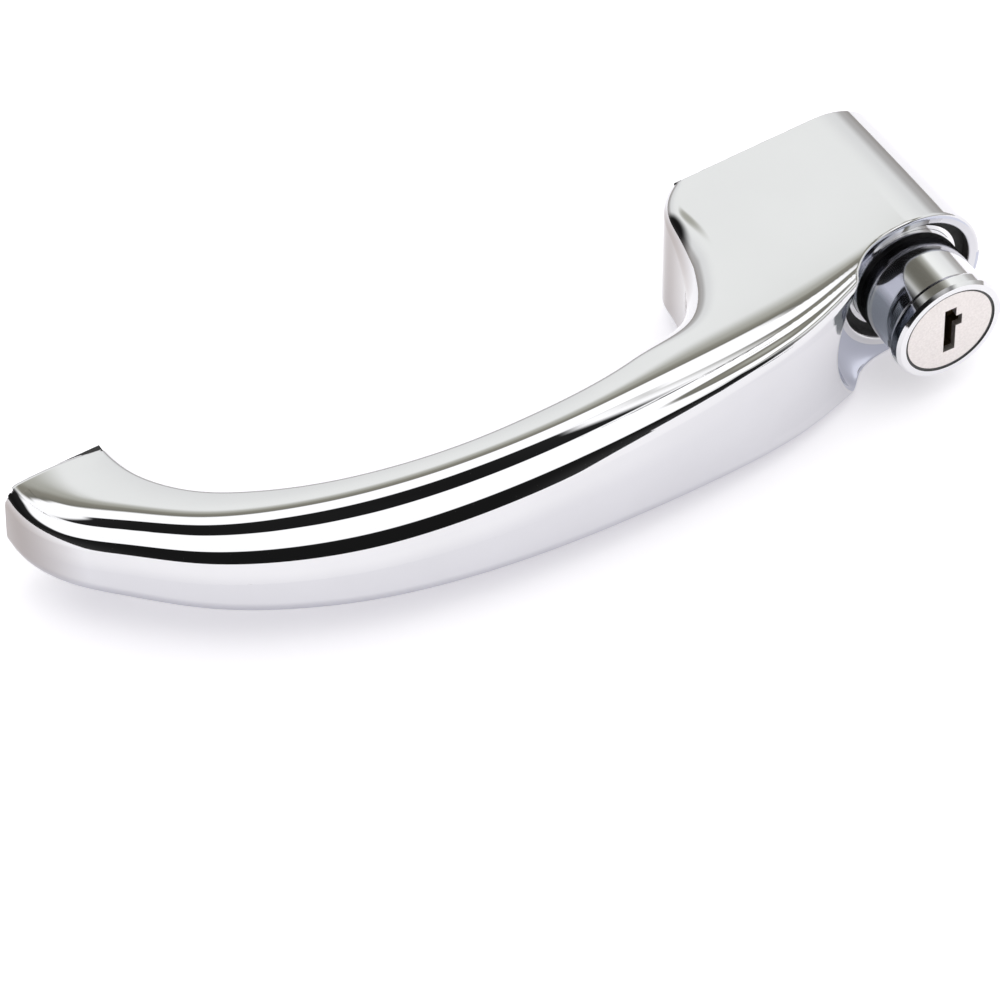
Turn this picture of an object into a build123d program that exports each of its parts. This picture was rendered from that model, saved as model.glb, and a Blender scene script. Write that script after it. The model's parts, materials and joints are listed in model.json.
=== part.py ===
"""Push-button door handle for a car: a cast bow with a foot at one end and a
boss at the other, which holds a sprung push button with a keyed wafer lock.

Frame, in millimetres: the origin is the mouth of the boss's screw hole, on the
door skin. The door skin is the plane Y = 0 and the handle stands out along -Y.
+X runs from the foot to the button, and +Z is up.

The nodes are drawn about the button's axis, with X = 0 on it, and save() moves
them to their place in the frame.
"""

import os
from math import asin, cos, radians, sin, sqrt

from build123d import *

os.makedirs("parts", exist_ok=True)

# ---------------------------------------------------------------- dimensions

BUTTON_X = 21.0         # button axis, from the screw hole in the boss

# Bow and foot
FOOT_TIP_X = -157.0     # outer end of the foot's pad
FOOT_INNER_X = -139.2   # finger-side end of the foot at the door
FOOT_NOSE_R = 8.0       # half height of the bow at the foot
SEAT_GAP = 0.3          # the casting stops this short of the door skin
DRAFT = 0.04            # growth of the height, mm per mm away from the door

# Steps that turn the upper front edge into a bead: pairs of inset from the front
# and drop from the top, from the flat top over the riser, the bead and the slope.
STEP_TOP = ((9.6, 0.0), (7.9, 0.12), (6.6, 0.55))
STEP_BEAD = ((5.1, 2.4), (3.3, 2.83), (1.7, 3.55))
STEP_SLOPE = ((0.8, 4.9), (0.0, 6.4))
PLAIN = 0.02            # share of the steps left where they have run out
FRONT_CROWN = 0.15

# Boss around the button
BOSS_R = 13.8           # radius of the round end at the door
BOSS_CENTRE_X = -0.4
BOSS_LEFT_X = -29.4     # finger-side end of the boss's seat at the door
FLANGE_Y = -30.4        # annular face around the button
BORE_R = 11.4           # bore the button slides in
MOUTH_R = 12.0          # counterbore that holds the guide bush
MOUTH_END_Y = -24.0
WIPER_R = 12.4          # recess for the wiper, in front of the bush
SCOOP_R = 7.5           # dish that leads from the bow down to the button
SCOOP_FLAT_R = 12.0
SEAL_POCKET = 1.0       # depth of the recess for each rubber pad
SEAL_INSET = 0.9        # how far the pads stay inside the outline

# Guide bush and wiper in the mouth of the bore
BUSH_FRONT_Y = -27.4
COLLAR_R = 10.7         # raised inner collar of the bush
COLLAR_HEIGHT = 1.2
WIPER_THICK = 1.0

# Button
RUN = 0.05              # radial running clearance
BUTTON_Y = -43.9        # front face of the button
RIM_R = 10.5
RIM_BACK_Y = -41.6
BARREL_R = 9.9
BARREL_BORE_R = 7.9
BARREL_END_Y = -2.0
CAP_POCKET_R = 8.9
CAP_POCKET = 2.2
STOP_R = 11.1           # flange that keeps the button in the boss
STOP_Y = -23.8
STOP_THICK = 1.5
TAB_R = 11.85           # tabs on the flange that stop the button turning
TAB_WIDTH = 3.0
KEYWAY_R = 12.2
KEYWAY_WIDTH = 3.4

# Lock
CAP_R = 8.42
CAP_THICK = 1.2
CAP_Y = -43.7
KEYHOLE_HEIGHT = 10.0
KEYHOLE_WIDTH = 2.3
KEYHOLE_STEP = 1.2      # notch for the key's upper flank
PLUG_R = 6.6
PLUG_HEAD_R = 7.5
PLUG_HEAD_Y = -41.6     # back of the plug's head
PLUG_END_Y = -13.5
KEY_SLOT_END_Y = -19.5
SLEEVE_FRONT_Y = -41.4
SLEEVE_END_Y = -16.0
WAFER_COUNT = 5
WAFER_PITCH = 3.4
WAFER_THICK = 1.2
WAFER_WIDTH = 7.0
WAFER_DROP = 0.5        # how far the wafers stand out of the plug when locked
FIRST_WAFER_Y = -37.5
SIDE_PLAY = 0.1

# Behind the lock
TAIL_THICK = 1.5
TAIL_SCREW_R = 1.5
PLUNGER_Y = -7.5
ROD_R = 2.5
ROD_FRONT_Y = -9.0
ROD_END_Y = 5.0
NUT_ACROSS_FLATS = 8.0
NUT_THICK = 3.5
TIP_R = 3.6

# Return spring and what it bears on
SEAT_Y = -4.5           # front face of the spring seat
SEAT_THICK = 1.2
CIRCLIP_THICK = 1.0
SPRING_WIRE = 0.9
SPRING_MEAN_R = 10.65
SPRING_TURNS = 5

# Threaded inserts
FOOT_SCREW_X = -148.5
M6_CORE_R = 2.5
M5_CORE_R = 2.1
INSERT_WALL = 1.3
INSERT_LENGTH = 9.0

# Stations of the bow seen from above: finger-side point, front point, rounding of
# the front edges, rounding of the finger side, size and depth of the steps.
BOW = [
    ((FOOT_INNER_X, -SEAT_GAP), (-158.7, -SEAT_GAP), 5.0, 1.6, 0.62, 0.2),
    ((-138.4, -5.0), (-158.3, -6.5), 5.0, 1.6, 0.64, 0.6),
    ((-136.0, -11.0), (-154.4, -14.4), 5.0, 1.6, 0.68, 0.9),
    ((-131.0, -17.0), (-147.0, -21.6), 4.8, 1.6, 0.72, 1.0),
    ((-123.5, -22.0), (-137.5, -29.6), 4.8, 1.6, 0.80, 1.0),
    ((-114.0, -26.3), (-125.0, -36.6), 4.8, 1.6, 0.92, 1.0),
    ((-102.0, -29.8), (-109.5, -42.0), 4.8, 1.6, 1.0, 1.0),
    ((-88.0, -32.0), (-92.0, -45.0), 4.8, 1.6, 1.0, 1.0),
    ((-74.0, -32.5), (-75.0, -46.0), 4.8, 1.8, 1.0, 0.7),
    ((-60.0, -31.8), (-58.5, -45.8), 4.8, 2.4, 1.0, 0.3),
    ((-48.5, -29.3), (-43.0, -44.7), 4.8, 2.6, 1.0, PLAIN),
]
# Lines of the head from the last station to the boss and to the rim of the button.
HEAD_FRONT = [(-29.0, -42.5), (-19.0, -39.3), (-11.0, -35.7), (-5.0, -32.5)]
HEAD_INNER = [
    (-42.8, -26.3), (-38.2, -20.2), (-34.6, -10.5), (-33.6, -5.8),
    (-32.0, -2.7), (-29.8, -0.6), (-28.2, 0.5),
]

# ------------------------------------------------------------------- helpers


def save(shape, name):
    """Write one node as a STEP file, in its place in the frame."""
    placed = Pos(BUTTON_X, 0, 0) * shape
    placed.label = name
    export_step(placed, f"parts/{name}.step")
    print(f"{name:22s} solids {len(shape.solids())}  volume {shape.volume:10.1f}  valid {shape.is_valid}")


def along_y(radius, y_front, y_back, x=0.0, z=0.0):
    """Solid cylinder on an axis parallel to Y, from y_front to y_back."""
    plane = Plane(origin=(x, y_front, z), x_dir=(1, 0, 0), z_dir=(0, 1, 0))
    return extrude(plane * Circle(radius), amount=y_back - y_front)


def tube_y(outer, inner, y_front, y_back, x=0.0, z=0.0):
    """Hollow cylinder on an axis parallel to Y."""
    body = along_y(outer, y_front, y_back, x, z)
    return body - along_y(inner, y_front - 1, y_back + 1, x, z)


def block(x_min, x_max, y_min, y_max, z_min, z_max):
    """Rectangular block between two corners."""
    centre = ((x_min + x_max) / 2, (y_min + y_max) / 2, (z_min + z_max) / 2)
    return Pos(*centre) * Box(x_max - x_min, y_max - y_min, z_max - z_min)


def lathe(points):
    """Turn a closed (radius, y) outline about the button's axis."""
    return revolve(make_face(Polyline(*points, close=True)), Axis.Y)


def group(pieces):
    """Several like pieces as one node."""
    return Compound(children=[solid for piece in pieces for solid in piece.solids()])


# ------------------------------------------------------------- handle casting


def nose_centre():
    return FOOT_TIP_X + FOOT_NOSE_R


def elevation(y):
    """Front view of the handle at a distance from the door, as a face."""
    grow = -y * DRAFT
    nose = Pos(nose_centre(), 0) * Circle(FOOT_NOSE_R + grow / 2)
    boss = Pos(BOSS_CENTRE_X, 0) * Circle(BOSS_R + grow)
    return Plane.XZ.offset(-y) * make_hull((nose + boss).edges())


def half_height(x, y):
    """Half height of the bow at a point of the plan."""
    grow = -y * DRAFT
    nose_r = FOOT_NOSE_R + grow / 2
    span = BOSS_CENTRE_X - nose_centre()
    slope = asin((BOSS_R + grow - nose_r) / span)
    return (nose_r + (x - nose_centre()) * sin(slope)) / cos(slope)


def mix(a, b, share):
    return a + (b - a) * share


def bow_section(inner, front, rounding, edge, size, depth):
    """Closed outline of the bow in the upright plane through two points of the plan."""
    width = sqrt((front[0] - inner[0]) ** 2 + (front[1] - inner[1]) ** 2)
    inner_h = half_height(*inner)
    front_h = half_height(*front)
    diagonal = 1 - 1 / sqrt(2)

    def top(inset, drop=0.0):
        """Point counted in from the front and down from the top."""
        share = 1 - inset / width
        x = mix(inner[0], front[0], share)
        y = mix(inner[1], front[1], share)
        return (x, y, mix(inner_h, front_h, share) - drop)

    def bottom(inset, rise=0.0):
        x, y, z = top(inset, rise)
        return (x, y, -z)

    def step(place, turn):
        """Point of the stepped edge, or of a plain rounding at this turn, or between."""
        inset, drop = place
        plain_inset = size * inset
        plain_drop = 0.0
        if turn is not None:
            plain_inset = rounding * (1 - sin(radians(turn)))
            plain_drop = rounding * (1 - cos(radians(turn)))
        return top(mix(plain_inset, size * inset, depth), mix(plain_drop, size * drop, depth))

    stepped = [step(place, None) for place in STEP_TOP]
    stepped += [step(place, turn) for place, turn in zip(STEP_BEAD + STEP_SLOPE, (0, 22.5, 45, 67.5, 90))]
    crown = top(-FRONT_CROWN)
    low = bottom(0, rounding)
    middle = (crown[0], crown[1], (stepped[7][2] + low[2]) / 2)
    short = width - diagonal * edge
    return make_face([
        Line(top(width - edge), stepped[0]),
        ThreePointArc(stepped[0], stepped[1], stepped[2]),
        Line(stepped[2], stepped[3]),
        ThreePointArc(stepped[3], stepped[4], stepped[5]),
        ThreePointArc(stepped[5], stepped[6], stepped[7]),
        ThreePointArc(stepped[7], middle, low),
        ThreePointArc(low, bottom(diagonal * rounding, diagonal * rounding), bottom(rounding)),
        Line(bottom(rounding), bottom(width - edge)),
        ThreePointArc(bottom(width - edge), bottom(short, diagonal * edge), bottom(width, edge)),
        Line(bottom(width, edge), top(width, edge)),
        ThreePointArc(top(width, edge), top(short, diagonal * edge), top(width - edge)),
    ])


def bow():
    return loft([bow_section(*station) for station in BOW])


def head():
    """End of the bow that carries the boss, from the last station of the bow."""
    inner_end, front_end, rounding, edge = BOW[-1][:4]
    inner_start, front_start = BOW[-2][:2]
    front = Spline(front_start, front_end, *HEAD_FRONT)
    inner = Spline(inner_start, inner_end, *HEAD_INNER)
    right = BOSS_R + 6
    rim_y = FLANGE_Y - 0.9
    closing = Polyline(HEAD_INNER[-1], (right, 2), (right, rim_y), (2, rim_y - 0.3), HEAD_FRONT[-1])
    plan = make_face([front, inner, closing, Line(front_start, inner_start)])
    slab = extrude(Pos(0, 0, -20) * plan, amount=40)
    side = loft([elevation(3), elevation(-52)], ruled=True)
    solid = (slab & side).solids()[0]

    def long_edges(on_front):
        """Edges that run along the head's front or along its finger side."""
        found = []
        for line in solid.edges().filter_by(lambda e: e.length > 30):
            box = line.bounding_box()
            flat = box.min.Z > 8 or box.max.Z < -8
            if flat and box.min.X < -55 and (box.max.Y < -30) == on_front:
                found.append(line)
        return found

    solid = solid.fillet(rounding, long_edges(True)).solids()[0]
    solid = solid.fillet(edge, long_edges(False)).solids()[0]
    across = Vector(inner_end[0] - front_end[0], inner_end[1] - front_end[1], 0)
    normal = Vector(across.Y, -across.X, 0).normalized()
    if normal.X < 0:
        normal = normal * -1
    keep = extrude(Plane(origin=(*front_end, 0), z_dir=normal) * Rectangle(200, 200), amount=100)
    trim = block(-60, 30, -SEAT_GAP, 10, -30, 30)
    return ((solid & keep) - trim).solids()[0]


def handle_casting():
    """Rounded casting with its dish, bore, keyways and pockets."""
    body = bow() + head()

    # Dish around the button
    scoop_y = FLANGE_Y - SCOOP_R
    corner = SCOOP_R / sqrt(2)
    outline = make_face([
        Polyline((0, -60), (0, FLANGE_Y), (SCOOP_FLAT_R, FLANGE_Y)),
        ThreePointArc(
            (SCOOP_FLAT_R, FLANGE_Y),
            (SCOOP_FLAT_R + corner, scoop_y + corner),
            (SCOOP_FLAT_R + SCOOP_R, scoop_y),
        ),
        Polyline((SCOOP_FLAT_R + SCOOP_R, scoop_y), (SCOOP_FLAT_R + SCOOP_R, -60), (0, -60)),
    ])
    body = body - revolve(outline, Axis.Y)

    # Bore, mouth, keyways and circlip groove
    body = body - along_y(BORE_R, -60, 5) - along_y(MOUTH_R, -60, MOUTH_END_Y)
    body = body - along_y(WIPER_R, -60, BUSH_FRONT_Y)
    keyway = along_y(KEYWAY_R, MOUTH_END_Y, 5) & block(-20, 20, -60, 5, -KEYWAY_WIDTH / 2, KEYWAY_WIDTH / 2)
    clip_y = SEAT_Y + SEAT_THICK
    body = body - keyway - along_y(KEYWAY_R, clip_y, clip_y + CIRCLIP_THICK)

    # Pockets for the rubber pads and holes for the threaded inserts
    for outline in (boss_pad_outline(SEAL_INSET), foot_pad_outline(SEAL_INSET)):
        body = body - extrude(outline, amount=SEAL_POCKET + SEAT_GAP)
    for x, core in ((-BUTTON_X, M6_CORE_R), (FOOT_SCREW_X, M5_CORE_R)):
        body = body - along_y(core + INSERT_WALL, -INSERT_LENGTH, 5, x)
    return body


def boss_pad_outline(inset):
    """Outline of the boss's seat, drawn on the door skin and facing -Y."""
    seat = elevation(0) & (Plane.XZ * Pos((20 + BOSS_LEFT_X) / 2, 0) * Rectangle(20 - BOSS_LEFT_X, 60))
    return offset(seat, -inset)


def foot_pad_outline(inset):
    """Outline of the foot's seat, drawn on the door skin and facing -Y."""
    seat = elevation(0) & (Plane.XZ * Pos(-170, 0) * Rectangle(2 * (170 + FOOT_INNER_X), 60))
    return offset(seat, -inset)


# ----------------------------------------------------- pads, inserts and bush


def boss_pad():
    pad = extrude(boss_pad_outline(SEAL_INSET + 0.05), amount=SEAL_POCKET + SEAT_GAP)
    return pad - along_y(BORE_R + 0.3, -5, 5) - along_y(M6_CORE_R + INSERT_WALL + 0.2, -5, 5, -BUTTON_X)


def foot_pad():
    pad = extrude(foot_pad_outline(SEAL_INSET + 0.05), amount=SEAL_POCKET + SEAT_GAP)
    return pad - along_y(M5_CORE_R + INSERT_WALL + 0.2, -5, 5, FOOT_SCREW_X)


def boss_insert():
    return tube_y(M6_CORE_R + INSERT_WALL, M6_CORE_R, -INSERT_LENGTH, 0, -BUTTON_X)


def foot_insert():
    return tube_y(M5_CORE_R + INSERT_WALL, M5_CORE_R, -INSERT_LENGTH, 0, FOOT_SCREW_X)


def guide_bush():
    front = tube_y(COLLAR_R, BARREL_R + RUN, BUSH_FRONT_Y - COLLAR_HEIGHT, BUSH_FRONT_Y)
    return front + tube_y(MOUTH_R, BARREL_R + RUN, BUSH_FRONT_Y, MOUTH_END_Y)


def wiper():
    return tube_y(WIPER_R, COLLAR_R + 0.02, BUSH_FRONT_Y - WIPER_THICK, BUSH_FRONT_Y)


# --------------------------------------------------------------------- button


def button_barrel():
    shell = lathe([
        (CAP_POCKET_R, BUTTON_Y), (RIM_R - 0.5, BUTTON_Y), (RIM_R, BUTTON_Y + 0.6), (RIM_R, RIM_BACK_Y),
        (BARREL_R, RIM_BACK_Y + 0.9), (BARREL_R, STOP_Y), (STOP_R, STOP_Y), (STOP_R, STOP_Y + STOP_THICK),
        (BARREL_R, STOP_Y + STOP_THICK), (BARREL_R, BARREL_END_Y), (BARREL_BORE_R, BARREL_END_Y),
        (BARREL_BORE_R, BUTTON_Y + CAP_POCKET), (CAP_POCKET_R, BUTTON_Y + CAP_POCKET),
    ])
    tabs = tube_y(TAB_R, BARREL_R + 0.5, STOP_Y, STOP_Y + STOP_THICK)
    tabs = tabs & block(-20, 20, -60, 5, -TAB_WIDTH / 2, TAB_WIDTH / 2)
    return shell + tabs


def bezel():
    return tube_y(CAP_POCKET_R, CAP_R + RUN, CAP_Y, BUTTON_Y + CAP_POCKET)


# ----------------------------------------------------------------------- lock


def keyhole(y_front, y_back):
    """Key opening: a tall slot with a step on the upper right."""
    side = KEYHOLE_WIDTH / 2
    tall = block(-side, side, y_front, y_back, -KEYHOLE_HEIGHT / 2, KEYHOLE_HEIGHT / 2)
    step = block(0, side + KEYHOLE_STEP, y_front, y_back, 0.5, 2.9)
    return tall + step


def plug_cap():
    return along_y(CAP_R, CAP_Y, CAP_Y + CAP_THICK) - keyhole(-60, 0)


def wafer_places():
    return [FIRST_WAFER_Y + i * WAFER_PITCH for i in range(WAFER_COUNT)]


def key_plug():
    head = along_y(PLUG_HEAD_R, CAP_Y + CAP_THICK, PLUG_HEAD_Y)
    plug = head + along_y(PLUG_R, PLUG_HEAD_Y, PLUG_END_Y)
    slot_half = KEYHOLE_WIDTH / 2
    plug = plug - keyhole(-60, PLUG_HEAD_Y + 0.5)
    plug = plug - block(-slot_half, slot_half, -60, KEY_SLOT_END_Y, -KEYHOLE_HEIGHT / 2, KEYHOLE_HEIGHT / 2)
    half = WAFER_WIDTH / 2 + SIDE_PLAY
    for y in wafer_places():
        plug = plug - block(-half, half, y - SIDE_PLAY, y + WAFER_THICK + SIDE_PLAY, -10, 10)
    plug = plug - tube_y(PLUG_R + 1, PLUG_R - 1, SLEEVE_END_Y + 0.2, SLEEVE_END_Y + 0.8)
    return plug - along_y(TAIL_SCREW_R, PLUG_END_Y - 4, 0)


def lock_sleeve():
    sleeve = tube_y(BARREL_BORE_R, PLUG_R + RUN, SLEEVE_FRONT_Y, SLEEVE_END_Y)
    reach = PLUG_R + WAFER_DROP + 0.2
    half = WAFER_WIDTH / 2 + 2 * SIDE_PLAY
    first = wafer_places()[0] - 1
    last = wafer_places()[-1] + WAFER_THICK + 1
    sleeve = sleeve - block(-half, half, first, last, -reach, 0)
    return sleeve - block(0, reach, first, last, -half, half)


def wafers():
    """Wafers drawn in flush with the plug, as with the key in."""
    pieces = []
    for i, y in enumerate(wafer_places()):
        window_mid = 0.2 + 0.3 * (i % 3)
        plate = Circle(PLUG_R - SIDE_PLAY) & Rectangle(WAFER_WIDTH, 30)
        plate = plate - Pos(0, window_mid) * Rectangle(KEYHOLE_WIDTH, 7.2)
        pieces.append(extrude(Plane.XZ.offset(-y) * plate, amount=-WAFER_THICK))
    return group(pieces)


def plug_clip():
    ring = tube_y(PLUG_HEAD_R - 0.3, PLUG_R - 1, SLEEVE_END_Y + 0.2, SLEEVE_END_Y + 0.8)
    return ring - block(-1.6, 1.6, -60, 0, -10, 0)


def tail():
    """Tail plate that turns with the plug."""
    plate = along_y(4.2, PLUG_END_Y, PLUG_END_Y + TAIL_THICK)
    arm = block(-2.2, 2.2, PLUG_END_Y, PLUG_END_Y + TAIL_THICK, 0, 7.6) & along_y(7.0, -60, 0)
    return plate + arm - along_y(TAIL_SCREW_R, -60, 0)


def tail_screw():
    head_y = PLUG_END_Y + TAIL_THICK
    screw = along_y(TAIL_SCREW_R, PLUG_END_Y - 4, head_y) + along_y(2.6, head_y, head_y + 1.6)
    return screw - block(-3, 3, head_y + 0.9, head_y + 3, -0.35, 0.35)


# -------------------------------------------------------- plunger and rod end


def plunger():
    return along_y(BARREL_BORE_R, PLUNGER_Y, BARREL_END_Y - 0.5) - along_y(ROD_R, -60, 5)


def push_rod():
    rod = along_y(ROD_R, ROD_FRONT_Y, ROD_END_Y)
    return rod - block(-3, 3, ROD_FRONT_Y - 1, ROD_FRONT_Y + 0.8, -0.4, 0.4)


def lock_nut():
    y = BARREL_END_Y - 0.5
    plane = Plane(origin=(0, y, 0), x_dir=(1, 0, 0), z_dir=(0, 1, 0))
    hexagon = plane * RegularPolygon(NUT_ACROSS_FLATS / 2, 6, major_radius=False)
    return extrude(hexagon, amount=NUT_THICK) - along_y(ROD_R, -60, 60)


def rod_tip():
    cap = along_y(TIP_R, ROD_END_Y - 2.5, ROD_END_Y + 2)
    cap = fillet(cap.edges().sort_by(Axis.Y)[-1], 1.2)
    return cap - along_y(ROD_R, ROD_END_Y - 5, ROD_END_Y)


# --------------------------------------------------------------- spring group


def return_spring():
    front_y = STOP_Y + STOP_THICK
    wire_r = SPRING_WIRE / 2
    height = SEAT_Y - front_y - SPRING_WIRE
    coil = Helix(pitch=height / SPRING_TURNS, height=height, radius=SPRING_MEAN_R)
    wire = sweep(Plane(origin=coil @ 0, z_dir=coil % 0) * Circle(wire_r), coil, is_frenet=True)
    return Pos(0, front_y + wire_r, 0) * Rot(-90, 0, 0) * wire


def spring_seat():
    return tube_y(BORE_R - 0.05, BARREL_R + RUN, SEAT_Y, SEAT_Y + SEAT_THICK)


def circlip():
    y = SEAT_Y + SEAT_THICK
    ring = tube_y(KEYWAY_R - 0.1, 10.8, y, y + CIRCLIP_THICK)
    return ring - block(-2.5, 2.5, -60, 5, -20, 0)


NODES = {
    "handle_body": handle_casting,
    "boss_pad": boss_pad,
    "foot_pad": foot_pad,
    "boss_insert": boss_insert,
    "foot_insert": foot_insert,
    "guide_bush": guide_bush,
    "wiper_ring": wiper,
    "button_barrel": button_barrel,
    "bezel_ring": bezel,
    "plug_cap": plug_cap,
    "key_plug": key_plug,
    "lock_sleeve": lock_sleeve,
    "tumbler_wafers": wafers,
    "plug_clip": plug_clip,
    "tail_plate": tail,
    "tail_screw": tail_screw,
    "plunger_head": plunger,
    "push_rod": push_rod,
    "rod_lock_nut": lock_nut,
    "rod_tip": rod_tip,
    "return_spring": return_spring,
    "spring_seat": spring_seat,
    "retaining_circlip": circlip,
}

if __name__ == "__main__":
    for name, build in NODES.items():
        save(build(), name)
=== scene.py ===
import json
from math import cos, radians, sin, sqrt

import bpy
import numpy as np
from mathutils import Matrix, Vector


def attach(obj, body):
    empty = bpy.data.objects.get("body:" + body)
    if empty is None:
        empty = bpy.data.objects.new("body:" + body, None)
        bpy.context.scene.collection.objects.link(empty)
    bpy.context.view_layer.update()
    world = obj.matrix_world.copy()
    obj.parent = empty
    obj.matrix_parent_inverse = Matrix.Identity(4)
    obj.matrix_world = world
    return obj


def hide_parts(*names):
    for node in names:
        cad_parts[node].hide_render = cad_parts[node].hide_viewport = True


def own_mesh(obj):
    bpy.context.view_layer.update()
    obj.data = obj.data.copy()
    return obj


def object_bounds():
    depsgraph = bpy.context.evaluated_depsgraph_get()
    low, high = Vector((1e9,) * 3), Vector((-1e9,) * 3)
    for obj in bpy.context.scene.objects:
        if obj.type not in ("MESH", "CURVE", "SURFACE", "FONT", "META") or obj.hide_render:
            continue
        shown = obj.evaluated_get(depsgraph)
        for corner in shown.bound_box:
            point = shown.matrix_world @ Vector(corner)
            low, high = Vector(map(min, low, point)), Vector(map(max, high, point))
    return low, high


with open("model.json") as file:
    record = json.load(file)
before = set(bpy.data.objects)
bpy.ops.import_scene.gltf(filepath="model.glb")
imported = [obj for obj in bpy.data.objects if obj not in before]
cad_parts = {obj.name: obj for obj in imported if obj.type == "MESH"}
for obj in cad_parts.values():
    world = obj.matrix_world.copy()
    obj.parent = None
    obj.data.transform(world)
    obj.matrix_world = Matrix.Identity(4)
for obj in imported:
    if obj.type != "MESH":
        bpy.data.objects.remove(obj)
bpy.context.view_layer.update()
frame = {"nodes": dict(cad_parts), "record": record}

MM = 0.001
BUTTON_X = 21.0  # the button's axis, from the frame's origin, in millimetres

# ------------------------------------------------------------ casting's shape
# Millimetres, with X = 0 on the button's axis, as the casting's drawing has it.

NOSE_X, NOSE_R = -149.0, 8.0  # centre and radius of the foot's round end, in front view
BOSS_X, BOSS_R = -0.4, 13.8  # and of the boss's
DRAFT = 0.04  # growth of the outline's radius towards the front, per millimetre
BLOCK_Z = 16.5  # half height of the block that the mesh is sought in
SEAT_Y = -0.3  # plane of both seats
FLANGE_Y = -30.4  # plane of the flange around the bore
WIPER_R, BUSH_Y = 12.4, -27.4  # bore in front of the bush, and where it ends
MOUTH_R, MOUTH_END_Y = 12.0, -24.0  # bore around the bush
BORE_R = 11.4
DISH_R, DISH_ARC_R, DISH_ARC_Y = 12.0, 7.5, -37.9  # dish: flat part, and the arc that rises from it
PAD_INSET, PAD_DEPTH = 0.9, 1.0  # recesses for the rubber pads
BOSS_SEAT_X, FOOT_SEAT_X = -29.4, -139.2  # ends of the seats that face the finger gap
INSERT_DEPTH = 9.0
INSERTS = ((-21.0, 3.8), (-148.5, 3.4))  # place and radius of the holes for the threaded inserts
EDGE_R = 4.8  # upper front edge where it has no steps
INNER_R = 1.6  # edges along the finger gap
WALL_R = 4.0  # and what the boss's wall adds to it
TOP_LEAN = 0.03  # crown of the top, per millimetre of its width
CROWN_AT = 0.4  # highest line of the crown, as a share of the width from the front

# Front of the casting seen from above: point of the line, rounding of the lower edge, size of
# the upper edge's steps, and how much of its riser and of its lower slope is left.
FRONT = [
    (-158.6, 4.0, 5.0, 0.62, 0.0, 0.0),
    (-158.7, -0.3, 5.0, 0.62, 0.0, 0.0),
    (-158.3, -6.5, 5.0, 0.64, 0.25, 0.2),
    (-154.4, -14.4, 5.0, 0.68, 0.7, 0.6),
    (-147.0, -21.6, 4.8, 0.72, 0.95, 0.9),
    (-137.5, -29.6, 4.8, 0.8, 1.0, 1.0),
    (-125.0, -36.6, 4.8, 0.92, 1.0, 1.0),
    (-109.5, -42.0, 4.8, 1.0, 1.0, 1.0),
    (-92.0, -45.0, 4.8, 1.0, 1.0, 1.0),
    (-75.0, -46.0, 4.8, 1.0, 0.85, 0.75),
    (-58.5, -45.8, 4.8, 1.0, 0.7, 0.4),
    (-43.0, -44.7, 4.4, 0.92, 0.6, 0.15),
    (-29.0, -42.5, 3.6, 0.78, 0.5, 0.0),
    (-19.0, -39.3, 2.8, 0.6, 0.4, 0.0),
    (-11.0, -35.7, 1.8, 0.4, 0.3, 0.0),
    (-5.0, -32.5, 1.2, 0.25, 0.0, 0.0),
    (0.0, -31.5, 1.0, 0.2, 0.0, 0.0),
    (8.0, -31.3, 1.0, 0.2, 0.0, 0.0),
    (22.0, -31.3, 1.0, 0.2, 0.0, 0.0),
]
# Finger side of the bow and the boss's wall, seen from above
INNER = [
    (-139.2, 4.0), (-139.2, 2.0), (-138.4, -5.0), (-136.0, -11.0), (-131.0, -17.0),
    (-123.5, -22.0), (-114.0, -26.3), (-102.0, -29.8), (-88.0, -32.0), (-74.0, -32.5),
    (-60.0, -31.8), (-48.5, -29.3), (-42.8, -26.3), (-38.2, -20.2), (-34.6, -10.5),
    (-33.6, -5.8), (-32.0, -2.7), (-29.8, -0.6), (-28.2, 0.5), (-26.2, 2.2),
]


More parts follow.
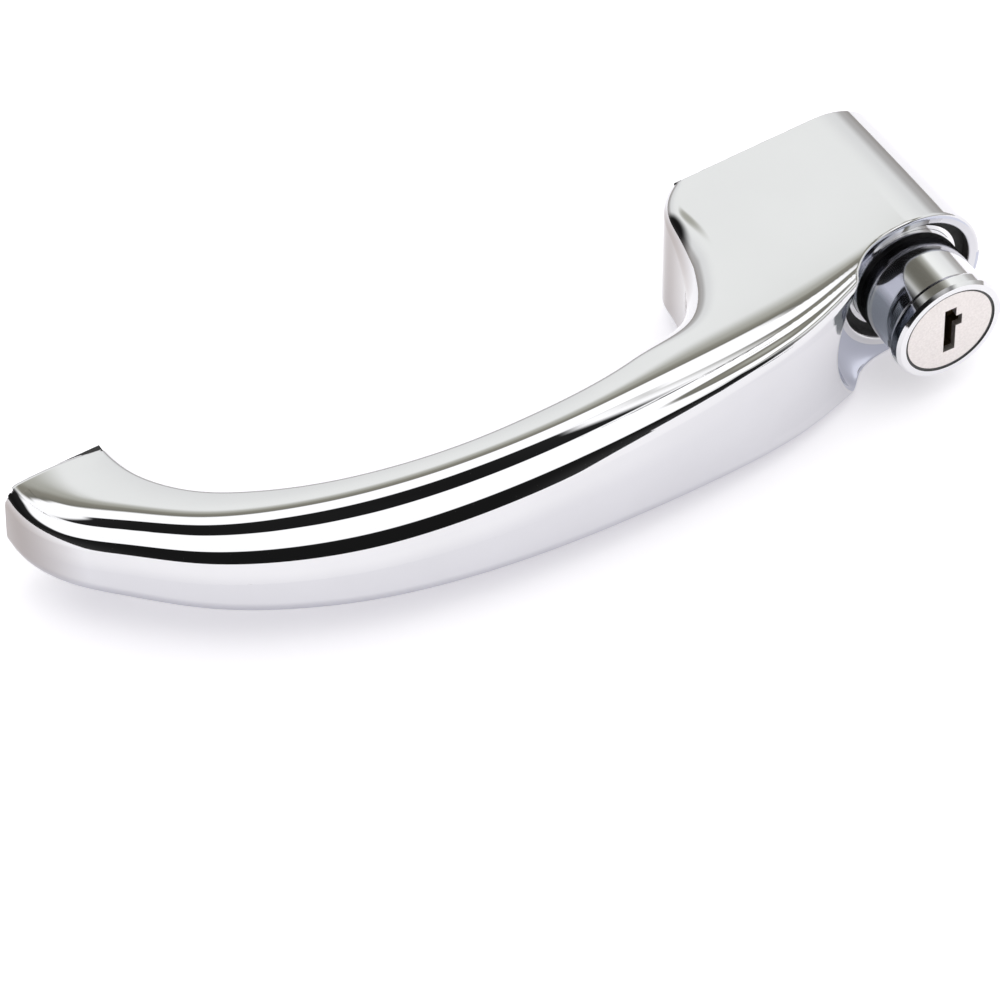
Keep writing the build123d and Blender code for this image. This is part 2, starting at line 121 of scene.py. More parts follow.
class Line:
    """Smooth line through points, with values carried along it, and its distance field."""

    def __init__(self, rows, side):
        rows = np.array(rows, float)
        steps = np.hypot(*np.diff(rows[:, :2], axis=0).T)
        knots = np.concatenate([[0], np.cumsum(np.sqrt(steps))])
        self.knots, self.rows, self.side = knots, rows, side
        n = len(knots)
        gap = np.diff(knots)
        system = np.zeros((n, n))
        right = np.zeros((n, rows.shape[1]))
        system[0, 0] = system[-1, -1] = 1
        for i in range(1, n - 1):
            system[i, i - 1:i + 2] = gap[i - 1], 2 * (gap[i - 1] + gap[i]), gap[i]
            right[i] = 6 * ((rows[i + 1] - rows[i]) / gap[i] - (rows[i] - rows[i - 1]) / gap[i - 1])
        self.bend = np.linalg.solve(system, right)
        self.dense = np.linspace(0, knots[-1], 700)
        self.dense_xy = self.at(self.dense)[0][:, :2]

    def at(self, t):
        """Values at t and their first and second derivatives, from a natural cubic spline."""
        i = np.clip(np.searchsorted(self.knots, t) - 1, 0, len(self.knots) - 2)
        gap = (self.knots[i + 1] - self.knots[i])[..., None]
        b = (t - self.knots[i])[..., None] / gap
        a = 1 - b
        p, q = self.rows[i], self.rows[i + 1]
        m, k = self.bend[i], self.bend[i + 1]
        value = a * p + b * q + ((a**3 - a) * m + (b**3 - b) * k) * gap**2 / 6
        slope = (q - p) / gap + ((3 * b**2 - 1) * k - (3 * a**2 - 1) * m) * gap / 6
        return value, slope, a * m + b * k

    def nearest(self, x, y):
        """Parameter of the nearest point, from a coarse search and three Newton steps."""
        t = np.empty(x.shape)
        for s in range(0, x.size, 20000):
            part = slice(s, s + 20000)
            dx = x[part, None] - self.dense_xy[None, :, 0]
            dy = y[part, None] - self.dense_xy[None, :, 1]
            t[part] = self.dense[(dx**2 + dy**2).argmin(1)]
        return self.refine(x, y, t)

    def refine(self, x, y, t, rounds=3):
        """Parameter after a few Newton steps from t."""
        for _ in range(rounds):
            value, slope, bend = self.at(t)
            dx, dy = value[:, 0] - x, value[:, 1] - y
            first = dx * slope[:, 0] + dy * slope[:, 1]
            second = slope[:, 0] ** 2 + slope[:, 1] ** 2 + dx * bend[:, 0] + dy * bend[:, 1]
            step = np.where(second > 1e-6, first / np.maximum(second, 1e-6), 0)
            t = np.clip(t - np.clip(step, -0.3, 0.3), 0, self.knots[-1])
        return t

    def distance(self, x, y, t):
        """Signed distance, positive on the outside of the casting."""
        value, slope, _ = self.at(t)
        length = np.hypot(slope[:, 0], slope[:, 1])
        nx, ny = self.side * slope[:, 1] / length, -self.side * slope[:, 0] / length
        return (x - value[:, 0]) * nx + (y - value[:, 1]) * ny, value


front_line = Line(FRONT, 1)
inner_line = Line(INNER, -1)


def round_max(a, b, r):
    """Intersection of two bodies whose shared edge is rounded to r."""
    return np.minimum(-r, np.maximum(a, b)) + np.hypot(np.maximum(a + r, 0), np.maximum(b + r, 0))


def elevation(x, y, z):
    """Distance to the front view's outline: tapered sides that end in the round boss."""
    grow = -y * DRAFT
    r0, r1 = NOSE_R + grow / 2, BOSS_R + grow
    span = BOSS_X - NOSE_X
    b = (r0 - r1) / span
    a = np.sqrt(1 - b * b)
    px, pz = np.abs(z), x - NOSE_X
    k = -b * px + a * pz
    side = px * a + pz * b - r0
    high = np.hypot(px, pz - span) - r1
    return np.where(k > a * span, high, side)


def smooth(value, start, end):
    """0 before start, 1 after end and an S-curve between."""
    share = np.clip((value - start) / (end - start), 0, 1)
    return share * share * (3 - 2 * share)


def edge_profiles():
    """Height of the upper front edge across it, 45 degrees to both faces: stepped and plain."""
    step = 0.01
    across = np.arange(-12, 12 + step / 2, step)
    # Degrees off the top face: a rolled-over rim, the riser, the bead, the slope and the front
    tilt = np.interp(across, [-8.2, -6.6, -5.5, -5.0], [0, 4, 9.5, 22])
    tilt = np.where(across > -4.2, 53, tilt)
    tilt = np.where(across > -1.9, 4 + 28 * (across + 1.9) / 2.95, tilt)
    tilt = np.where(across > 1.05, 57, tilt)
    tilt = np.where(across > 3.4, 82 + 8 * smooth(across, 5, 9), tilt)
    spread = np.exp(-0.5 * (np.arange(-60, 61) * step / 0.14) ** 2)  # softens the corners
    tilt = np.convolve(np.pad(tilt, 60, mode="edge"), spread / spread.sum(), "valid")
    slope = np.tan(np.radians(45 - tilt))
    stepped = across[0] + np.concatenate([[0], np.cumsum((slope[1:] + slope[:-1]) / 2 * step)])
    stepped -= (stepped[-1] + across[-1]) * smooth(across, -2, 8)
    half = EDGE_R / sqrt(2)
    plain = -np.abs(across)
    within = np.abs(across) < half
    plain[within] = np.sqrt(EDGE_R**2 - across[within] ** 2) - EDGE_R * sqrt(2)
    return across, stepped, plain


ACROSS, STEPPED, PLAIN = edge_profiles()
RELIEF = STEPPED - PLAIN
LOWER = smooth(ACROSS, -1.2, 1.2)  # 0 on the riser's side of the bead and 1 on the slope's
RISER = RELIEF * (1 - LOWER)
SLOPE = RELIEF * LOWER


def upper_edge(inset, drop, size, riser, slope):
    """Distance to the stepped edge, from the depths below the front and the top."""
    across = (drop - inset) / sqrt(2) / size
    out = -(drop + inset) / sqrt(2) / size

    def height(at):
        steps = riser * np.interp(at, ACROSS, RISER) + slope * np.interp(at, ACROSS, SLOPE)
        value = np.interp(at, ACROSS, PLAIN) + steps
        return np.where(np.abs(at) > 11.9, -np.abs(at), value)

    lean = (height(across + 0.02) - height(across - 0.02)) / 0.04
    return size * (out - height(across)) / np.sqrt(1 + lean**2)


def dish(x, y, z):
    """Distance to the space in front of the flange, which runs up to the bow in an arc."""
    rho = np.hypot(x, z)
    arc = np.hypot(rho - DISH_R, y - DISH_ARC_Y) - DISH_ARC_R
    wall = rho - DISH_R - DISH_ARC_R
    return np.where(rho < DISH_R, y - FLANGE_Y, np.where(y < DISH_ARC_Y, wall, arc))


def pad_recess(x, y, z, end):
    """Distance to the recess for a seat's pad; end is the distance past the seat's end."""
    outline = np.maximum(elevation(x, 0, z), end) + PAD_INSET
    return np.maximum(outline, SEAT_Y - PAD_DEPTH - y)


def casting(x, y, z, tf, ti):
    """Signed distance to the casting, negative inside."""
    d_front, carried = front_line.distance(x, y, tf)
    d_inner, _ = inner_line.distance(x, y, ti)
    rounding, size = carried[:, 2], np.maximum(carried[:, 3], 0.15)
    riser, slope = np.clip(carried[:, 4], 0, 1), np.clip(carried[:, 5], 0, 1)
    side = elevation(x, y, z)
    # The front swells a little towards its middle
    d_front = d_front - 0.15 * np.clip(1 - (z / 9) ** 2, 0, 1) * np.clip((-x - 12) / 10, 0, 1)
    # The top is crowned, more so on the bow and most near the foot
    into_front, into_inner = np.maximum(-d_front, 0), np.maximum(-d_inner, 0)
    width = np.maximum(into_front + into_inner, 1)
    lean = TOP_LEAN + 0.12 * smooth(-x, 40, 75) + 0.04 * smooth(-x, 95, 140)
    drop = lean * width * (into_front / width - CROWN_AT) ** 2 * smooth(width, 6, 12)
    top = np.where(z > 0, side + drop, side)
    stepped = upper_edge(-d_front, -top, size, riser, slope)
    edge = np.where(z > 0, stepped, round_max(d_front, side, rounding))
    finger_r = INNER_R + WALL_R * smooth(-x, 56, 38) * smooth(-y, -2, 18)
    body = np.maximum(edge, round_max(d_inner, top, finger_r))
    body = round_max(body, -dish(x, y, z), 0.7)
    bore = np.where(y < BUSH_Y, WIPER_R, np.where(y < MOUTH_END_Y, MOUTH_R, BORE_R))
    body = round_max(body, bore - np.hypot(x, z), 0.35)
    body = round_max(body, y - SEAT_Y, 0.25 + 0.6 * (x < -100))
    body = np.maximum(body, -pad_recess(x, y, z, BOSS_SEAT_X - x))
    body = np.maximum(body, -pad_recess(x, y, z, x - FOOT_SEAT_X))
    for hole_x, r in INSERTS:
        hole = np.maximum(np.hypot(x - hole_x, z) - r, -INSERT_DEPTH - y)
        body = np.maximum(body, -hole)
    return body


def surface(step, x_range, y_range):
    """Mesh of part of the casting by surface nets, with every vertex moved onto the surface."""
    xs = np.arange(*x_range, step)
    ys = np.arange(*y_range, step)
    zs = np.arange(-BLOCK_Z, BLOCK_Z + 0.1, step)
    gx, gy = np.meshgrid(xs, ys, indexing="ij")
    fx, fy = gx.ravel(), gy.ravel()
    tf = front_line.nearest(fx, fy)
    ti = inner_line.nearest(fx, fy)
    field = np.empty((len(xs), len(ys), len(zs)), np.float32)
    for k, z in enumerate(zs):
        field[:, :, k] = casting(fx, fy, np.full_like(fx, z), tf, ti).reshape(gx.shape)
    inside = field < 0
    corners = [(i, j, k) for i in (0, 1) for j in (0, 1) for k in (0, 1)]
    n = np.array(field.shape) - 1
    cells = np.zeros(tuple(n), int)
    for i, j, k in corners:
        cells += inside[i:i + n[0], j:j + n[1], k:k + n[2]]
    active = (cells > 0) & (cells < 8)
    index = np.full(tuple(n), -1)
    index[active] = np.arange(active.sum())
    ci, cj, ck = np.nonzero(active)
    total = np.zeros((len(ci), 3))
    count = np.zeros(len(ci))
    for a in range(8):
        for axis in range(3):
            if corners[a][axis]:
                continue
            b = list(corners[a])
            b[axis] = 1
            va = field[ci + corners[a][0], cj + corners[a][1], ck + corners[a][2]]
            vb = field[ci + b[0], cj + b[1], ck + b[2]]
            cross = (va < 0) != (vb < 0)
            share = np.where(cross, va / np.where(cross, va - vb, 1), 0)
            along = (np.array(b) - np.array(corners[a]))[None, :]
            point = np.array(corners[a], float)[None, :] + share[:, None] * along
            total += point * cross[:, None]
            count += cross
    base = np.stack([ci, cj, ck], 1) + total / count[:, None]
    verts = base * step + np.array([xs[0], ys[0], zs[0]])
    quads = []
    for axis in range(3):
        u, v = (axis + 1) % 3, (axis + 2) % 3
        lo = [slice(1, n[d]) for d in range(3)]
        hi = [slice(1, n[d]) for d in range(3)]
        lo[axis], hi[axis] = slice(0, n[axis]), slice(1, n[axis] + 1)
        a_in, b_in = inside[tuple(lo)], inside[tuple(hi)]
        flip = a_in & ~b_in
        keep = a_in != b_in
        at = np.stack(np.nonzero(keep), 1)
        for d in (u, v):
            at[:, d] += 1
        ring = []
        for du, dv in ((0, 0), (1, 0), (1, 1), (0, 1)):
            q = at.copy()
            q[:, u] -= 1 - du
            q[:, v] -= 1 - dv
            ring.append(index[q[:, 0], q[:, 1], q[:, 2]])
        ring = np.stack(ring, 1)
        turned = flip[keep]
        ring[~turned] = ring[~turned][:, ::-1]
        quads.append(ring)
    quads = np.concatenate(quads)
    quads = quads[(quads >= 0).all(1)]
    points, normals = settle(verts, step)
    return points, quads, normals


def settle(verts, reach):
    """Points moved onto the casting's surface, and the surface's normals there."""
    x, y, z = verts.T.copy()
    tf = front_line.nearest(x, y)
    ti = inner_line.nearest(x, y)
    eps = 0.01

    def value(x, y, z):
        return casting(x, y, z, front_line.refine(x, y, tf, 2), inner_line.refine(x, y, ti, 2))

    def slope(x, y, z):
        g = np.stack([
            value(x + eps, y, z) - value(x - eps, y, z),
            value(x, y + eps, z) - value(x, y - eps, z),
            value(x, y, z + eps) - value(x, y, z - eps),
        ], 1)
        return g / np.maximum(np.linalg.norm(g, axis=1), 1e-9)[:, None]

    for _ in range(3):
        normal = slope(x, y, z)
        f = np.clip(value(x, y, z), -reach, reach)
        x, y, z = x - f * normal[:, 0], y - f * normal[:, 1], z - f * normal[:, 2]
    return np.stack([x, y, z], 1), slope(x, y, z)


BOW_START, BOW_END = 1.3, 12.0  # rows between which the bow is drawn ring by ring
SHARED_ROWS = 14  # rows of the two lines that face each other across the bow
DIVE, DIVE_LENGTH = 0.12, 1.35  # how the ends of the rings go under the neighbouring meshes
OVERLAP = 2.1


def station(row):
    """Front and finger-side points of the plan at a row number, which may lie between rows."""
    rows = np.arange(SHARED_ROWS)
    front_point = front_line.at(np.interp(row, rows, front_line.knots[:SHARED_ROWS]))[0]
    inner_point = inner_line.at(np.interp(row, rows, inner_line.knots[:SHARED_ROWS]))[0]
    return front_point, inner_point


def bow_rings(gap):
    """Mesh of the bow from rings that follow its section, so that its bands run evenly."""
    fine = np.linspace(BOW_START, BOW_END, 4000)
    steps = np.hypot(*np.diff(station(fine)[0][:, :2], axis=0).T)
    length = np.concatenate([[0], np.cumsum(steps)])
    count = int(length[-1] / gap)
    front_point, inner_point = station(np.interp(np.linspace(0, length[-1], count), length, fine))
    p, q = front_point[:, :2], inner_point[:, :2]
    width = np.hypot(*(q - p).T)[:, None]
    size = front_point[:, 3][:, None]
    rounding = front_point[:, 2][:, None]

    def half(xy):
        """Half height of the casting at points of the plan."""
        grow = -xy[:, 1] * DRAFT
        r0 = NOSE_R + grow / 2
        b = (r0 - BOSS_R - grow) / (BOSS_X - NOSE_X)
        return ((r0 - (xy[:, 0] - NOSE_X) * b) / np.sqrt(1 - b * b))[:, None]

    high = half(p)
    turn = np.radians(np.linspace(0, 90, 10))[None, :]
    across = np.arange(-7.2, 9.0, 0.1)
    out = np.interp(across, ACROSS, STEPPED)
    step_inset = -(across + out)[None, :] / sqrt(2) * size
    step_drop = (across - out)[None, :] / sqrt(2) * size
    inset, drop = [], []

    def add(i, d):
        """Next stretch of the rings, as depths from the front and below the top."""
        i, d = np.broadcast_arrays(i + 0 * width, d + 0 * width)
        inset.append(i)
        drop.append(d)

    add(width, high + np.linspace(1, -1, 12)[None, 1:-1] * (high - INNER_R))
    add(width - INNER_R * (1 - np.cos(turn)), INNER_R * (1 - np.sin(turn)))
    share = np.linspace(0, 1, 14)[None, 1:]
    add((width - INNER_R) * (1 - share) + step_inset[:, :1] * share, 0)
    add(step_inset[:, 1:], step_drop[:, 1:])
    share = np.linspace(0, 1, 14)[None, 1:-1]
    add(0, step_drop[:, -1:] * (1 - share) + (2 * high - rounding) * share)
    add(rounding * (1 - np.cos(turn)), 2 * high - rounding * (1 - np.sin(turn)))
    share = np.linspace(0, 1, 12)[None, 1:-1]
    add(rounding * (1 - share) + (width - INNER_R) * share, 2 * high)
    add(width - INNER_R * (1 - np.sin(turn)), 2 * high - INNER_R * (1 - np.cos(turn)))
    inset, drop = np.hstack(inset), np.hstack(drop)
    share = inset / width
    x = p[:, :1] * (1 - share) + q[:, :1] * share
    y = p[:, 1:] * (1 - share) + q[:, 1:] * share
    level = high * (1 - share) + half(q) * share
    z = np.where(drop > high, 2 * high - drop - level, level - drop)
    verts = np.stack([x.ravel(), y.ravel(), z.ravel()], 1)
    points, normals = settle(verts, 0.8)
    rings, around = inset.shape
    from_end = np.minimum(np.arange(rings), np.arange(rings)[::-1]) * gap
    dive = DIVE * (1 - smooth(from_end, 0, DIVE_LENGTH))
    points -= np.repeat(dive, around)[:, None] * normals
    at = np.arange(rings * around).reshape(rings, around)
    near, far = at[:-1], at[1:]
    quads = np.stack([near, far, np.roll(far, -1, 1), np.roll(near, -1, 1)], -1).reshape(-1, 4)
    a, b, c = (points[quads[:, i]] for i in (0, 1, 3))
    if (np.cross(b - a, c - a) * normals[quads[:, 0]]).sum() < 0:
        quads = quads[:, ::-1]
    return points, quads, normals


def beyond(row, side, x_range, y_range, step):
    """Mesh of an end of the casting, from a little before the station at the row on."""
    points, quads, normals = surface(step, x_range, y_range)
    p, q = (end[:2] for end in station(row))

    def past(at):
        turn = (q[0] - p[0]) * (at[:, 1] - p[1]) - (q[1] - p[1]) * (at[:, 0] - p[0])
        return turn * side / np.hypot(*(q - p))

    kept = past(points[quads].mean(1)) > -OVERLAP
    points = points - DIVE * smooth(-past(points), 0.4, 1.8)[:, None] * normals
    return points, quads[kept], normals


def shell_object(name, verts, faces, normals):
    """Mesh object from points in millimetres about the button's axis."""
    mesh = bpy.data.meshes.new(name)
    points = (verts + np.array([BUTTON_X, 0, 0])) * MM
    mesh.from_pydata(points.tolist(), [], faces.tolist())
    mesh.shade_smooth()
    mesh.normals_split_custom_set_from_vertices(normals.tolist())
    obj = bpy.data.objects.new(name, mesh)
    bpy.context.scene.collection.objects.link(obj)
    return obj


pieces = [
    bow_rings(0.45),
    beyond(BOW_START, 1, (-160.0, -137.0), (-6.0, 1.0), 0.35),
    beyond(BOW_END, -1, (-46.0, 16.0), (-47.5, 1.0), 0.3),
]
starts = np.cumsum([0] + [len(points) for points, _, _ in pieces])
body = shell_object(
    "handle_shell",
    np.concatenate([points for points, _, _ in pieces]),
    np.concatenate([faces + start for (_, faces, _), start in zip(pieces, starts)]),
    np.concatenate([normals for _, _, normals in pieces]),
)
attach(body, "handle")
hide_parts("handle_body")

# The return spring shortens against its seat as the button goes in; here it is only copied onto the
# handle with a mesh of its own
coil = frame["nodes"]["return_spring"]
spring = bpy.data.objects.new("spring_coil", coil.data.copy())
spring.matrix_world = coil.matrix_world.copy()
bpy.context.scene.collection.objects.link(spring)
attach(spring, "handle")
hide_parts("return_spring")
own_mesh(spring)

# ------------------------------------------------------------------ materials


def nodes_of(name):
    material = bpy.data.materials.new(name)
    material.use_nodes = True
    tree = material.node_tree
    return material, tree.nodes, tree.links, tree.nodes["Principled BSDF"]


def set_stops(ramp, stops):
    """Colour stops of a ramp, as position and colour."""
    elements = ramp.color_ramp.elements
    while len(elements) < len(stops):
        elements.new(0.5)
    for element, (position, color) in zip(elements, stops):
        element.position = position
        element.color = (*color, 1)


def surface_detail(nodes, links, shader, scale, low, high, bump):
    """Uneven roughness and a faint bump from noise in the piece's own coordinates."""
    place = nodes.new("ShaderNodeTexCoord")
    noise = nodes.new("ShaderNodeTexNoise")
    noise.inputs["Scale"].default_value = scale
    noise.inputs["Detail"].default_value = 4
    links.new(place.outputs["Object"], noise.inputs["Vector"])
    spread = nodes.new("ShaderNodeMapRange")
    spread.inputs["To Min"].default_value = low
    spread.inputs["To Max"].default_value = high
    links.new(noise.outputs["Fac"], spread.inputs["Value"])
    links.new(spread.outputs["Result"], shader.inputs["Roughness"])
    if bump:
        relief = nodes.new("ShaderNodeBump")
        relief.inputs["Strength"].default_value = bump
        relief.inputs["Distance"].default_value = 0.0002
        links.new(noise.outputs["Fac"], relief.inputs["Height"])
        links.new(relief.outputs["Normal"], shader.inputs["Normal"])
    return noise


def tint(nodes, links, shader, noise, dark, light):
    """Base colour that drifts between two tones with the noise."""
    ramp = nodes.new("ShaderNodeValToRGB")
    set_stops(ramp, [(0.3, dark), (0.7, light)])
    links.new(noise.outputs["Fac"], ramp.inputs["Fac"])
    links.new(ramp.outputs["Color"], shader.inputs["Base Color"])


def chrome(name, tone=0.73, rough=(0.03, 0.06)):
    """Bright plating with a faint drift in tone and gloss."""
    material, nodes, links, shader = nodes_of(name)
    shader.inputs["Metallic"].default_value = 1.0
    noise = surface_detail(nodes, links, shader, 60.0, *rough, 0.0)
    dark = (tone - 0.02, tone - 0.02, tone - 0.005)
    tint(nodes, links, shader, noise, dark, (tone, tone, tone + 0.015))
    return material


def metal(name, dark, light, rough, scale=900.0, bump=0.15):
    """Duller metal between two tones, finely pitted."""
    material, nodes, links, shader = nodes_of(name)
    shader.inputs["Metallic"].default_value = 1.0
    noise = surface_detail(nodes, links, shader, scale, *rough, bump)
    tint(nodes, links, shader, noise, dark, light)
    return material


def soft(name, dark, light, rough, scale=1500.0, bump=0.3):
    """Rubber, paint or plastic between two tones, finely grained."""
    material, nodes, links, shader = nodes_of(name)
    noise = surface_detail(nodes, links, shader, scale, *rough, bump)
    tint(nodes, links, shader, noise, dark, light)
    return material


def paint_light_by_normal(material, axis, start, end, stops):
    """Painted shade and painted reflection: base colour scaled by a ramp over one component of the
    piece's own normal.
    """
    nodes, links = material.node_tree.nodes, material.node_tree.links
    shader = nodes["Principled BSDF"]
    place = nodes.new("ShaderNodeTexCoord")
    apart = nodes.new("ShaderNodeSeparateXYZ")
    links.new(place.outputs["Normal"], apart.inputs["Vector"])
    spread = nodes.new("ShaderNodeMapRange")
    spread.inputs["From Min"].default_value = start
    spread.inputs["From Max"].default_value = end
    links.new(apart.outputs[axis], spread.inputs["Value"])
    ramp = nodes.new("ShaderNodeValToRGB")
    set_stops(ramp, stops)
    links.new(spread.outputs["Result"], ramp.inputs["Fac"])
    mixer = nodes.new("ShaderNodeMix")
    mixer.data_type = "RGBA"
    mixer.blend_type = "MULTIPLY"
    mixer.inputs["Factor"].default_value = 1.0
    links.new(shader.inputs["Base Color"].links[0].from_socket, mixer.inputs[6])
    links.new(ramp.outputs["Color"], mixer.inputs[7])
    links.new(mixer.outputs[2], shader.inputs["Base Color"])
    return material


def paint_dish_shade(material):
    """Painted shade: a darker bluish plating on the arc that rises from the dish around the button.
    """
    nodes, links = material.node_tree.nodes, material.node_tree.links
    shader = nodes["Principled BSDF"]
    place = nodes.new("ShaderNodeTexCoord")
    apart = nodes.new("ShaderNodeSeparateXYZ")
    links.new(place.outputs["Object"], apart.inputs["Vector"])

    def maths(operation, a, b):
        node = nodes.new("ShaderNodeMath")
        node.operation = operation
        for socket, value in zip(node.inputs, (a, b)):
            if isinstance(value, float):
                socket.default_value = value
            else:
                links.new(value, socket)
        return node.outputs["Value"]

    def length(a, b):
        return maths("SQRT", maths("ADD", maths("MULTIPLY", a, a), maths("MULTIPLY", b, b)), 0.0)

    rho = length(maths("SUBTRACT", apart.outputs["X"], BUTTON_X * MM), apart.outputs["Z"])
    outward = maths("SUBTRACT", rho, DISH_R * MM)
    arc = length(outward, maths("SUBTRACT", apart.outputs["Y"], DISH_ARC_Y * MM))
    off_arc = maths("ABSOLUTE", maths("SUBTRACT", arc, DISH_ARC_R * MM), 0.0)
    on_arc = maths("LESS_THAN", off_arc, 0.3 * MM)
    in_front = maths("LESS_THAN", apart.outputs["Y"], (FLANGE_Y - 0.2) * MM)
    mask = maths("MULTIPLY", on_arc, in_front)
    mixer = nodes.new("ShaderNodeMix")
    mixer.data_type = "RGBA"
    links.new(mask, mixer.inputs["Factor"])
    unshaded = shader.inputs["Base Color"].links[0].from_socket
    links.new(unshaded, mixer.inputs[6])
    # Colour of the painted shade on the dish's arc
    mixer.inputs[7].default_value = (0.52, 0.54, 0.62, 1)
    links.new(mixer.outputs[2], shader.inputs["Base Color"])
    return material


def body_chrome():
    """Chrome of the casting, with painted shade underneath, a painted darker reflection on the
    faces along -X and painted shade in the dish.
    """
    material = chrome("body_chrome")
    # Painted shade: faces that turn downwards are darkened towards a bluish grey
    paint_light_by_normal(material, "Z", -0.5, 0.16, [(0.0, (0.6, 0.6, 0.66)), (1.0, (1, 1, 1))])
    # Painted reflection: faces along -X, the boss's wall and the foot's end, get a darker brownish
    # tone
    paint_light_by_normal(material, "X", -1.0, -0.7, [(0.0, (0.5, 0.45, 0.42)), (1.0, (1, 1, 1))])
    return paint_dish_shade(material)


def button_chrome():
    """Chrome of the barrel, with painted reflections in light and dark bands along it, by which way
    each face turns.
    """
    return paint_light_by_normal(chrome("button_chrome", 0.8, (0.06, 0.12)), "X", -1.0, 0.2, [
        (0.0, (0.3, 0.32, 0.32)), (0.1, (0.35, 0.37, 0.37)), (0.2, (0.9,) * 3), (0.36, (0.9,) * 3),
        (0.5, (0.5,) * 3), (0.7, (0.6,) * 3), (0.85, (1,) * 3), (1.0, (1,) * 3),
    ])


FINISHES = {
    "body_chrome": body_chrome(),
    "bush_chrome": chrome("bush_chrome", 0.82, (0.05, 0.1)),
    "button_chrome": button_chrome(),
    "pad_rubber": soft("pad_rubber", (0.02,) * 3, (0.035,) * 3, (0.6, 0.8)),
    "wiper_rubber": soft("wiper_rubber", (0.006,) * 3, (0.012,) * 3, (0.55, 0.75)),
    "bezel_black": soft("bezel_black", (0.03,) * 3, (0.05,) * 3, (0.35, 0.5)),
    "cap_satin": metal(
        "cap_satin", (0.72, 0.68, 0.66), (0.82, 0.78, 0.76), (0.38, 0.5), 2600.0, 0.25),
    "insert_steel": metal("insert_steel", (0.5,) * 3, (0.62,) * 3, (0.25, 0.4)),
    # The plug's brass is painted near black, as painted shade for the keyhole that it sits behind
    "lock_brass": metal("lock_brass", (0.10, 0.075, 0.04), (0.16, 0.12, 0.065), (0.45, 0.6)),
    "sleeve_brass": metal("sleeve_brass", (0.56, 0.41, 0.19), (0.7, 0.53, 0.26), (0.25, 0.4)),
    "wafer_brass": metal("wafer_brass", (0.66, 0.5, 0.24), (0.78, 0.62, 0.34), (0.25, 0.35)),
    "spring_steel": metal("spring_steel", (0.28,) * 3, (0.38,) * 3, (0.3, 0.45)),
    "zinc_plate": metal("zinc_plate", (0.52, 0.52, 0.5), (0.64, 0.64, 0.6), (0.3, 0.45)),
    "screw_steel": metal("screw_steel", (0.5,) * 3, (0.64,) * 3, (0.25, 0.4)),
    "plunger_zinc": metal("plunger_zinc", (0.5,) * 3, (0.62,) * 3, (0.35, 0.5), 500.0, 0.3),
    "rod_steel": metal("rod_steel", (0.5,) * 3, (0.62,) * 3, (0.25, 0.4)),
    "nut_steel": metal("nut_steel", (0.55, 0.48, 0.3), (0.66, 0.6, 0.42), (0.25, 0.4)),
    "tip_nylon": soft("tip_nylon", (0.7, 0.67, 0.58), (0.8, 0.77, 0.69), (0.35, 0.5)),
    "coil_steel": metal("coil_steel", (0.3,) * 3, (0.42,) * 3, (0.25, 0.4)),
    "seat_steel": metal("seat_steel", (0.5,) * 3, (0.62,) * 3, (0.25, 0.4)),
    "clip_steel": metal("clip_steel", (0.26,) * 3, (0.36,) * 3, (0.3, 0.45)),
}

slot_of = {part["node"]: part["material_slot"] for part in frame["record"]["subparts"]}
for node, obj in frame["nodes"].items():
    obj.data.materials.clear()
    obj.data.materials.append(FINISHES[slot_of[node]])
body.data.materials.append(FINISHES["body_chrome"])
spring.data.materials.clear()
spring.data.materials.append(FINISHES["coil_steel"])

# --------------------------------------------------- camera, floor and lights

camera_data = bpy.data.cameras.new("camera")
camera_data.sensor_width = 36.0
camera_data.lens = 289.0
camera_data.clip_end = 30.0
camera = bpy.data.objects.new("camera", camera_data)
aim = Vector((-0.0530, -0.0190, -0.0251))
azimuth, rise = radians(-30.445), radians(47.803)
back = Vector((sin(azimuth) * cos(rise), -cos(azimuth) * cos(rise), sin(rise)))
camera.location = aim + 1.3696 * back
camera.rotation_mode = "QUATERNION"
camera.rotation_quaternion = (-back).to_track_quat("-Z", "Y")
bpy.context.scene.collection.objects.link(camera)
bpy.context.scene.camera = camera

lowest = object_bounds()[0].z
bpy.ops.mesh.primitive_plane_add(size=8, location=(0, 0, lowest - 0.0005))
floor = bpy.context.object
floor.name = "floor"
material, nodes, links, shader = nodes_of("floor_paper")
noise = surface_detail(nodes, links, shader, 4.0, 0.85, 0.95, 0.0)
tint(nodes, links, shader, noise, (0.9, 0.89, 0.92), (0.91, 0.9, 0.93))
shader.inputs["Emission Color"].default_value = (1.0, 0.985, 1.0, 1.0)
shader.inputs["Emission Strength"].default_value = 0.42
shader.inputs["Specular IOR Level"].default_value = 0.0
floor.data.materials.append(material)


def area_light(name, location, size, energy):
    """Square light aimed at the handle, which the chrome doesn't mirror."""
    data = bpy.data.lights.new(name, "AREA")
    data.size = size
    data.energy = energy
    light = bpy.data.objects.new(name, data)
    light.location = location
    light.rotation_mode = "QUATERNION"
    light.rotation_quaternion = (Vector(location) - aim).to_track_quat("Z", "Y")
    light.visible_glossy = False
    bpy.context.scene.collection.objects.link(light)


area_light("overhead", (0.2, 0.3, 2.4), 3.0, 9)

# Room around the object, by height: a far side that is light up to a dark beam below the
# ceiling, a dark side behind the viewer, and a bright ceiling
world = bpy.data.worlds.new("room")
world.use_nodes = True
bpy.context.scene.world = world
nodes, links = world.node_tree.nodes, world.node_tree.links
background = nodes["Background"]
coords = nodes.new("ShaderNodeTexCoord")
parts = nodes.new("ShaderNodeSeparateXYZ")
links.new(coords.outputs["Generated"], parts.inputs["Vector"])


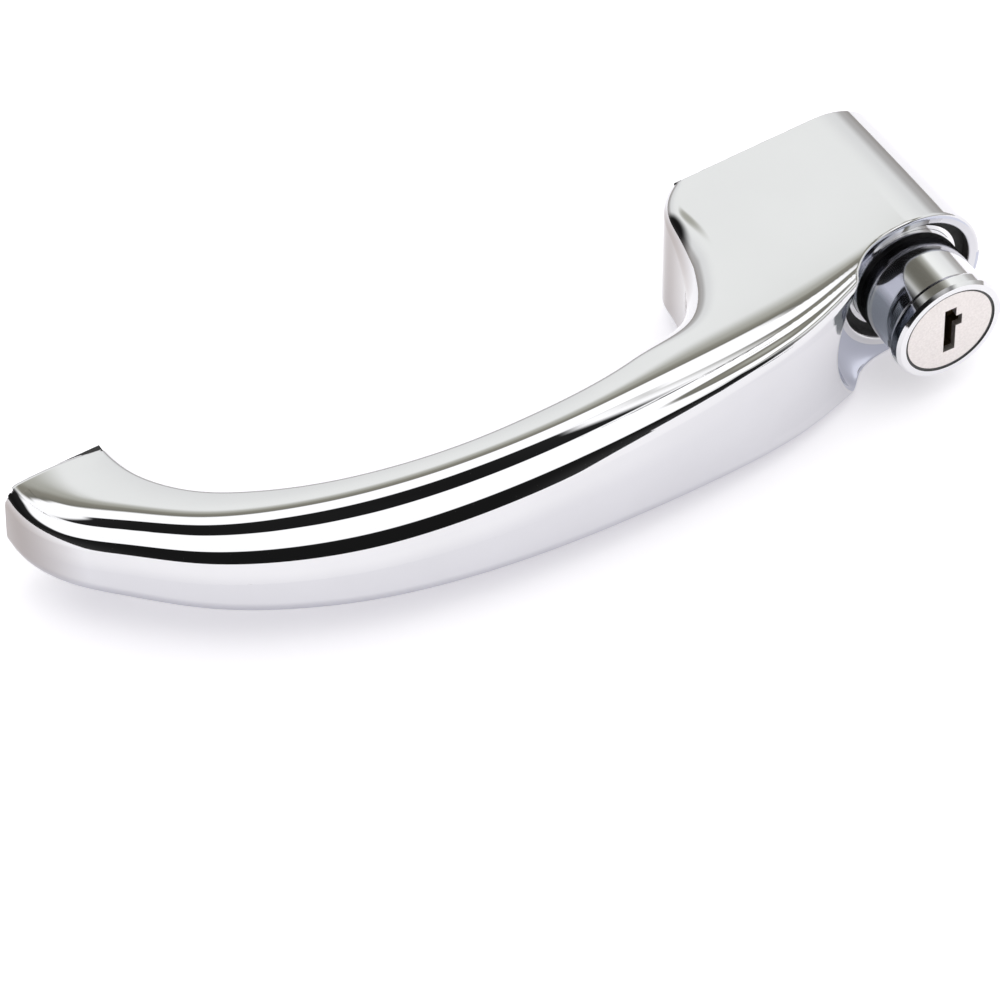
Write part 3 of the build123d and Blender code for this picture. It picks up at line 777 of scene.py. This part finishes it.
def ramp_of(value, stops):
    """Colour from a ramp over a value from -1 to 1."""
    ramp = nodes.new("ShaderNodeValToRGB")
    ramp.color_ramp.interpolation = "EASE"
    set_stops(ramp, stops)
    shift = nodes.new("ShaderNodeMapRange")
    shift.inputs["From Min"].default_value = -1.0
    links.new(value, shift.inputs["Value"])
    links.new(shift.outputs["Result"], ramp.inputs["Fac"])
    return ramp.outputs["Color"]


def grey(v, warm=0.0, green=0.0):
    """Grey with a little warmth or green in it."""
    return (v + warm, v + green, v - warm)


far_side = ramp_of(parts.outputs["Z"], [
    (0.0, grey(0.8)),
    (0.5, grey(0.4, 0.02)),
    (0.6, grey(0.55, 0.01)),
    (0.7, grey(0.95, 0.0, 0.01)),
    (0.85, grey(1.08, 0.005, 0.02)),
    (0.885, grey(0.5, 0.03, 0.03)),
    (0.905, grey(0.28, 0.03, 0.02)),
    (0.93, grey(0.22, 0.02, 0.015)),
    (0.945, grey(1.45)),
    (1.0, grey(1.45)),
])
near_side = ramp_of(parts.outputs["Z"], [
    (0.0, grey(0.8)),
    (0.46, grey(0.05)),
    (0.65, grey(0.012)),
    (0.84, grey(0.02)),
    (0.885, grey(1.4)),
    (1.0, grey(1.4)),
])
towards = nodes.new("ShaderNodeVectorMath")
towards.operation = "DOT_PRODUCT"
towards.inputs[1].default_value = (-0.8, -0.6, 0.0)
links.new(coords.outputs["Generated"], towards.inputs[0])
side = nodes.new("ShaderNodeMapRange")
side.interpolation_type = "SMOOTHSTEP"
side.inputs["From Min"].default_value = -0.12
side.inputs["From Max"].default_value = 0.12
links.new(towards.outputs["Value"], side.inputs["Value"])
mixer = nodes.new("ShaderNodeMix")
mixer.data_type = "RGBA"
links.new(side.outputs["Result"], mixer.inputs["Factor"])
links.new(far_side, mixer.inputs[6])
links.new(near_side, mixer.inputs[7])
links.new(mixer.outputs[2], background.inputs["Color"])
background.inputs["Strength"].default_value = 1.0

bpy.context.scene.view_settings.view_transform = "Standard"
bpy.context.scene.view_settings.look = "None"
